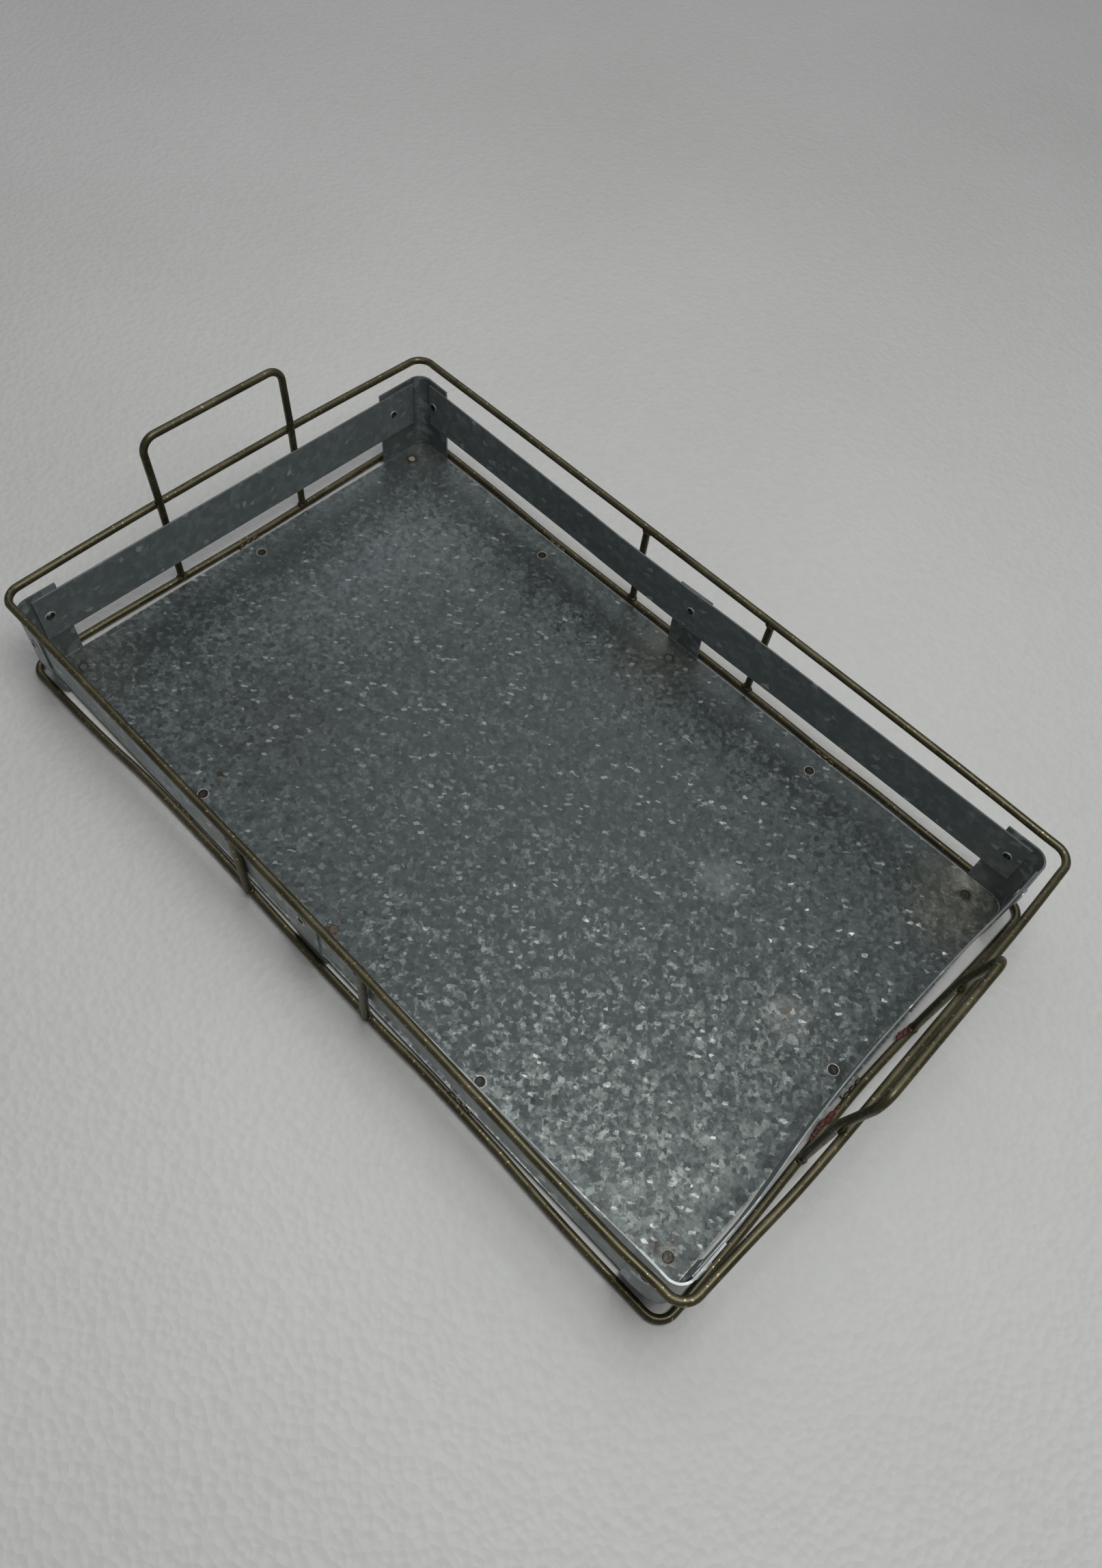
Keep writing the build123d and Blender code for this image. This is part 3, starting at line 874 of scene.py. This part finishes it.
# Weld beads: radii along X, Y and Z in millimetres, and how far they lie from a ring's line.
POST_FOOT_BEAD = (3.3, 2.4, 1.6)
POST_FOOT_BEAD_IN = 0.4 * MM
POST_HEAD_BEAD = (3.2, 2.3, 1.5)
POST_BEAD_OFF = 1.7 * MM
HANDLE_FOOT_BEAD = (2.4, 3.4, 1.7)
HANDLE_FOOT_BEAD_UP = 1.75 * MM
HANDLE_NECK_BEAD = (1.4, 2.7, 2.7)
LUG_BEADS = ((1.1, 2.3, 1.1), (2.3, 1.1, 1.1))     # for a lug along X, and along Y
LUG_BEAD_SHIFTS = (-4.2, 0.0, 4.2)     # along the side, in millimetres
LUG_BEAD_IN = 1.75 * MM
LUG_BEAD_UP = 0.15 * MM

weld_spots = []
weld_mesh = bmesh.new()


def ring_side(ring, axis, sign, along):
    """X or Y, for axis 0 or 1, of a bent ring's side at a place along that side."""
    half, _, bends = ring
    name = (("nx", "px"), ("ny", "py"))[axis][sign > 0]
    return sign * (half[axis] + bend_at(bends[name], along))


def add_weld(x, y, z, radii):
    """Adds a weld bead, and remembers its place for the burnt colour round it."""
    centre = Vector((x, y, z))
    weld_spots.append(centre)
    bead(weld_mesh, centre, [r * MM for r in radii], len(weld_spots))


def post_paths():
    """The posts' centre lines by name; adds a weld at each foot and head."""
    paths = {}
    for long, sign_y in LONG_SIDES:
        for short, sign_x in SHORT_SIDES:
            x = sign_x * POST_X
            foot_y = ring_side(BOTTOM_RING, 1, sign_y, x) + sign_y * POST_FOOT_OUT
            head_y = ring_side(TOP_RING, 1, sign_y, x) - sign_y * POST_HEAD_IN
            foot = Vector((x, foot_y, FOOT_Z))
            head = Vector((x + sign_x * POST_HEAD_ALONG, head_y, HEAD_Z))
            steps = [foot.lerp(head, k / POST_STEPS) for k in range(POST_STEPS + 1)]
            paths["post_%s_%s" % (long, short)] = steps
            add_weld(x, foot_y - sign_y * POST_FOOT_BEAD_IN, BOTTOM_Z + POST_BEAD_OFF, POST_FOOT_BEAD)
            add_weld(x, head_y, TOP_Z - POST_BEAD_OFF, POST_HEAD_BEAD)
    return paths


def handle_paths():
    """The handles' centre lines by name; adds a weld at each foot and at the top ring."""
    paths = {}
    for short, sign_x in SHORT_SIDES:
        lo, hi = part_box("handle_" + short)
        leg_x = lo.x + WIRE_R if sign_x > 0 else hi.x - WIRE_R
        bar_x = hi.x - WIRE_R if sign_x > 0 else lo.x + WIRE_R
        bar_z = hi.z - WIRE_R
        legs_y = (lo.y + WIRE_R, hi.y - WIRE_R)
        side = ((leg_x, lo.z), (leg_x, HANDLE_RAKE_Z), (bar_x, bar_z))
        corners = [Vector((x, legs_y[0], z)) for x, z in side]
        corners += [Vector((x, legs_y[1], z)) for x, z in reversed(side)]
        paths["handle_" + short] = filleted_path(corners, HANDLE_BEND_R)
        for y in legs_y:
            ring_x = ring_side(TOP_RING, 0, sign_x, y)
            add_weld(leg_x, y, BOTTOM_Z + HANDLE_FOOT_BEAD_UP, HANDLE_FOOT_BEAD)
            add_weld((leg_x + ring_x) / 2, y, TOP_Z, HANDLE_NECK_BEAD)
    return paths


def add_lug_welds():
    """Three beads between each lug and the bottom ring."""
    for node, axis, sign in LUGS:
        lo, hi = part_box(node)
        across = 1 - axis
        middle = (lo[across] + hi[across]) / 2
        place = [0, 0, BOTTOM_Z + LUG_BEAD_UP]
        place[axis] = ring_side(BOTTOM_RING, axis, sign, middle) - sign * LUG_BEAD_IN
        for shift in LUG_BEAD_SHIFTS:
            place[across] = middle + shift * MM
            add_weld(*place, LUG_BEADS[axis])


def wire_piece(node, path, closed, flat):
    """One wire of the frame, in the place of its CAD node."""
    bm = bmesh.new()
    sweep(bm, path, closed, Vector(flat), weld_spots)
    link(node + "_wire", bm, wire_coat, (node,))


posts = post_paths()
handles = handle_paths()
add_lug_welds()
wire_piece("bottom_ring", ring_path(BOTTOM_RING), True, (0, 0, 1))
wire_piece("top_ring", ring_path(TOP_RING), True, (0, 0, 1))
for node, path in handles.items():
    wire_piece(node, path, False, (1, 0, 0))
for node, path in posts.items():
    wire_piece(node, path, False, (0, 1, 0))
link("frame_welds", weld_mesh, burnt_weld)

# -------- tray
# How far apart the sheets are cut along X, Y and Z in millimetres, and how round their edges are.
PLATE_STEPS = (8, 8, 0)
PLATE_EDGE = 0.12 * MM
LONG_BAND_STEPS = (6, 0, 5.6)
SHORT_BAND_STEPS = (0, 6, 5.6)
BAND_EDGE = 0.14 * MM
MID_BRACKET_STEPS = (5, 0, 4)
CORNER_BRACKET_STEPS = (4, 4, 4)
BRACKET_EDGE = 0.16 * MM
LUG_EDGE = 0.2 * MM


def add_strip(node, steps, material, edge):
    """A band or a bracket of the tray's walls."""
    link(node + "_strip", sheet_from(node, steps, bent_sheet_point), material,
         (node,), bevel=edge)


def add_lug(node):
    """A lug under the tray, which is not bent."""
    link(node + "_strip", sheet_from(node, (0, 0, 0), lambda p: p), lug_zinc,
         (node,), bevel=LUG_EDGE)


link("base_plate_sheet", sheet_from("base_plate", PLATE_STEPS, bent_sheet_point), plate_zinc,
     ("base_plate",), bevel=PLATE_EDGE)
for long, _ in LONG_SIDES:
    add_strip("long_band_" + long, LONG_BAND_STEPS, band_zinc, BAND_EDGE)
    add_strip("mid_bracket_" + long, MID_BRACKET_STEPS, bracket_zinc, BRACKET_EDGE)
for short, _ in SHORT_SIDES:
    add_strip("short_band_" + short, SHORT_BAND_STEPS, band_zinc, BAND_EDGE)
    for long, _ in LONG_SIDES:
        add_strip("corner_bracket_%s_%s" % (short, long), CORNER_BRACKET_STEPS, bracket_zinc,
                  BRACKET_EDGE)
        add_lug("lug_%s_%s" % (long, short))
    add_lug("lug_" + short)

# -------- fasteners
# Profiles: radius, and height over a level of the fastener, in millimetres.
PLATE_RIVET_FACE = ((0, -0.03), (0.9, -0.02), (1.5, 0), (1.9, 0), (2.1, -0.05), (2.3, -0.01),
                    (2.5, -0.07))
PLATE_RIVET_NECK = ((2.5, 0), (3.6, 0))
PLATE_RIVET_HEAD = ((3.6, 0.42), (3.18, 0), (1.2, 0), (1.0, 0.1), (0, 0.12))
PLATE_RIVET_TOP = PLATE_TOP_Z + 0.08 * MM
PLATE_RIVET_UNDER = PLATE_TOP_Z - 1.9 * MM
PLATE_RIVET_R = 2.5 * MM
LUG_RIVET_FACE = ((0, -0.25), (1.2, -0.2), (1.9, 0), (2.3, -0.05))
LUG_RIVET_HEAD = ((2.3, 0.45), (3.4, 0.45), (3.4, 0.15), (3.2, 0), (0, 0))
LUG_RIVET_TOP = PLATE_TOP_Z - 0.35 * MM
LUG_RIVET_R = 2.3 * MM
EYELET_INSIDE = ((1.35, 0), (1.42, -0.28), (1.75, -0.46), (2.15, -0.40), (2.42, -0.16), (2.45, 0),
                 (2.08, 0))
EYELET_OUTSIDE = ((2.1, 0), (1.7, -0.1), (1.38, -0.4))
EYELET_NECK_R = 2.08 * MM
EYELET_GRIP = 1.8 * MM       # band and bracket together
EYELET_EDGE = ((0, -0.22), (-0.2, -0.02))    # over the head's radius, and over its top
EYELET_HOLE_R = 1.8 * MM     # within this an eyelet is dark: painted shade in its hole
EYELET_BORE_SHADE = 1.5            # painted shade in the bore; the metal is dark from 1 on, as at a rivet's rim
EYELET_BRIGHT = 0.1
SMALL_HEAD = (2.9 * MM, 0.5 * MM)     # radius and thickness outside
LARGE_HEAD = (4.4 * MM, 1.0 * MM)
# Eyelets of the walls: direction of the wall, places along it in millimetres, head.
LONG_WALL_EYES = ((1, (-201.5, 0.0, 198.2), SMALL_HEAD), (-1, (-201.5, 0.0, 201.0), SMALL_HEAD))
SHORT_WALL_EYES = ((-1, (106.1, -116.6), SMALL_HEAD), (1, (114.5, -112.5), LARGE_HEAD))


def profile_at(points, level):
    """Profile points in metres, with their heights over that level."""
    return [(r * MM, level + z * MM) for r, z in points]


def add_radial(bm, gap_at, reach):
    """Marks each point with its distance from the nearest fastener's axis, 1 at its rim."""
    layer = bm.verts.layers.float.new("radial")
    for v in bm.verts:
        v[layer] = gap_at(v.co) / reach


def bend_and_close(bm):
    """Moves a fastener with the sheet that it sits in."""
    for v in bm.verts:
        v.co = bent_sheet_point(v.co)
    bmesh.ops.recalc_face_normals(bm, faces=bm.faces)


def plate_rivet(x, y):
    """Flush shank with a sunken ring near its edge, and a low head underneath."""
    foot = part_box("plate_rivets")[0].z
    profile = profile_at(PLATE_RIVET_FACE, PLATE_RIVET_TOP)
    profile += profile_at(PLATE_RIVET_NECK, PLATE_RIVET_UNDER)
    profile += profile_at(PLATE_RIVET_HEAD, foot)
    bm = bmesh.new()
    lathe(bm, profile, Matrix.Translation((x, y, 0)))
    add_radial(bm, lambda p: math.hypot(p.x - x, p.y - y), PLATE_RIVET_R)
    bend_and_close(bm)
    return bm


def add_plate_rivets():
    """The six rivets through the tray's floor."""
    for name, (x, y, metal) in PLATE_RIVETS.items():
        bm = plate_rivet(x * MM, y * MM)
        link("plate_rivet_" + name, bm, RIVET_METALS[metal], ("plate_rivets",))


def lug_gap(p):
    """Distance from the nearest lug rivet's axis."""
    return min(math.hypot(p.x - x, p.y - y) for x, y in LUG_RIVETS)


def add_lug_rivets():
    """The rivets that hold the lugs, all in one piece."""
    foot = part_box("lug_rivets")[0].z
    bm = bmesh.new()
    for x, y in LUG_RIVETS:
        profile = profile_at(LUG_RIVET_FACE, LUG_RIVET_TOP) + profile_at(LUG_RIVET_HEAD, foot)
        lathe(bm, profile, Matrix.Translation((x, y, 0)))
    add_radial(bm, lug_gap, LUG_RIVET_R)
    bmesh.ops.recalc_face_normals(bm, faces=bm.faces)
    link("lug_rivet_set", bm, RIVET_METALS["dark"], ("lug_rivets",))


def add_eye(bm, layer, x, y, outwards, head):
    """One eyelet: rolled inside, flat head outside, its hole darkened with painted shade."""
    head_r, head_thickness = head
    facing = Vector(outwards).to_track_quat("Z", "Y").to_matrix().to_4x4()
    place = Matrix.Translation((x, y, EYELET_Z)) @ facing
    top = EYELET_GRIP + head_thickness
    profile = profile_at(EYELET_INSIDE, 0.0)
    profile.append((EYELET_NECK_R, EYELET_GRIP))
    profile.append((head_r, EYELET_GRIP))
    profile += [(head_r + r * MM, top + z * MM) for r, z in EYELET_EDGE]
    profile += profile_at(EYELET_OUTSIDE, top)
    unplace = place.inverted()
    for v in lathe(bm, profile, place, closed=True):
        local = unplace @ v.co
        inside = math.hypot(local.x, local.y) < EYELET_HOLE_R
        v[layer] = EYELET_BORE_SHADE if inside else EYELET_BRIGHT


def add_eyelets():
    """The eyelets through bands and brackets, all in one piece."""
    bm = bmesh.new()
    layer = bm.verts.layers.float.new("radial")
    for sign, places, head in LONG_WALL_EYES:
        for x in places:
            add_eye(bm, layer, x * MM, sign * WALL_Y, (0, sign, 0), head)
    for sign, places, head in SHORT_WALL_EYES:
        for y in places:
            add_eye(bm, layer, sign * WALL_X, y * MM, (sign, 0, 0), head)
    bend_and_close(bm)
    link("eyelet_set", bm, eyelet_metal, ("eyelets",))


add_plate_rivets()
add_lug_rivets()
add_eyelets()

# -------- residue on the bottom wire
RANDOM_SEED = 7
SMEARS = ((-31, -12, 1.9), (34, 40, 1.7))    # start and end along the px side, and size, in mm
SMEAR_STEPS = 9
SMEAR_SEED = 40
SMEAR_LUMPS = 0.35
SMEAR_SHAPE = (0.8, 1.25, 0.55)              # of a lump, along X, Y and Z
SMEAR_IN = (2.0, 0.9)        # mm inside the ring's line at the start, and how much less at the end
SMEAR_UP = 1.5               # mm over the ring's line
SMEAR_WIDTH = (0.7, 0.4)     # share of the size at the ends, and what the middle has more


def add_residue():
    """Two smears of lumps on the inner side of the bottom ring."""
    random.seed(RANDOM_SEED)
    smears = bmesh.new()
    for start, end, width in SMEARS:
        for k in range(SMEAR_STEPS + 1):
            t = k / SMEAR_STEPS
            y = (start + (end - start) * t + random.uniform(-0.6, 0.6)) * MM
            inwards = (SMEAR_IN[0] - SMEAR_IN[1] * t + random.uniform(-0.4, 0.4)) * MM
            x = ring_side(BOTTOM_RING, 0, 1, y) - inwards
            z = BOTTOM_Z + (SMEAR_UP + random.uniform(-0.5, 0.4)) * MM
            share = SMEAR_WIDTH[0] + SMEAR_WIDTH[1] * math.sin(math.pi * t)
            size = width * share * random.uniform(0.8, 1.1)
            radii = [size * part * MM for part in SMEAR_SHAPE]
            bead(smears, Vector((x, y, z)), radii, SMEAR_SEED + k, SMEAR_LUMPS)
    link("residue_smears", smears, residue)


add_residue()

# -------- floor, light and camera
FLOOR_HALF = 8
FLOOR_CELLS = 8
FLOOR_DROP = 0.02 * MM       # keeps the floor just under the part
LAMPS = (
    ("key", (0.24, 0.02, 0.95), (0.14, -0.08, 0), 0.50, 4.4, (0.99, 1.0, 0.97)),
    ("back_left", (-0.8, 0.8, 1.8), (-0.2, 0.1, 0), 2.0, 10.0, (0.97, 0.98, 1.0)),
)
WORLD_COLOUR = (0.80, 0.82, 0.84, 1)
WORLD_STRENGTH = 0.24

# The viewing angle, from the floor: compass angle, height and roll of the camera, in degrees.
VIEW_AZIMUTH = -52.54
VIEW_ELEVATION = 58.73
VIEW_ROLL = 8.58
CAMERA_PLACE = Vector((193.4, -223.0, 491.5)) * MM
FOCAL_SHARE = 0.723          # focal length over the height of the picture
SENSOR_HEIGHT = 36
NEAREST = 0.01
FARTHEST = 50


def add_floor():
    """The plain pale floor."""
    grid = bmesh.new()
    bmesh.ops.create_grid(grid, x_segments=FLOOR_CELLS, y_segments=FLOOR_CELLS, size=FLOOR_HALF)
    mesh = bpy.data.meshes.new("floor")
    grid.to_mesh(mesh)
    grid.free()
    mesh.materials.append(foam_floor())
    floor = bpy.data.objects.new("floor", mesh)
    bpy.context.scene.collection.objects.link(floor)
    floor.location.z = -FLOOR_DROP


def add_lamp(name, place, target, size, power, colour):
    """A round soft lamp at place, aimed at target."""
    data = bpy.data.lights.new(name, "AREA")
    data.shape = "DISK"
    data.size = size
    data.energy = power
    data.color = colour
    lamp = bpy.data.objects.new(name, data)
    lamp.location = place
    lamp.rotation_euler = (Vector(target) - Vector(place)).to_track_quat("-Z", "Y").to_euler()
    bpy.context.scene.collection.objects.link(lamp)


def add_world():
    """Even pale light from all round."""
    world = bpy.data.worlds.new("studio")
    world.use_nodes = True
    background = world.node_tree.nodes["Background"]
    background.inputs["Color"].default_value = WORLD_COLOUR
    background.inputs["Strength"].default_value = WORLD_STRENGTH
    bpy.context.scene.world = world


def camera_turn():
    """The camera's turn: its right, its up and its back as columns."""
    azimuth = math.radians(VIEW_AZIMUTH)
    elevation = math.radians(VIEW_ELEVATION)
    roll = math.radians(VIEW_ROLL)
    across = math.cos(elevation)
    towards = Vector((across * math.cos(azimuth), across * math.sin(azimuth), math.sin(elevation)))
    ahead = -towards
    level = ahead.cross(Vector((0, 0, 1))).normalized()
    above = level.cross(ahead)
    right = level * math.cos(roll) + above * math.sin(roll)
    up = above * math.cos(roll) - level * math.sin(roll)
    return Matrix((right, up, -ahead)).transposed().to_4x4()


def add_camera():
    """The camera at the photograph's viewing angle."""
    data = bpy.data.cameras.new("camera")
    data.sensor_fit = "VERTICAL"
    data.sensor_height = SENSOR_HEIGHT
    data.lens = FOCAL_SHARE * SENSOR_HEIGHT
    data.clip_start = NEAREST
    data.clip_end = FARTHEST
    camera = bpy.data.objects.new("camera", data)
    camera.matrix_world = Matrix.Translation(CAMERA_PLACE) @ camera_turn()
    bpy.context.scene.collection.objects.link(camera)
    bpy.context.scene.camera = camera


add_floor()
for lamp in LAMPS:
    add_lamp(*lamp)
add_world()
bpy.context.scene.view_settings.view_transform = "Standard"
add_camera()
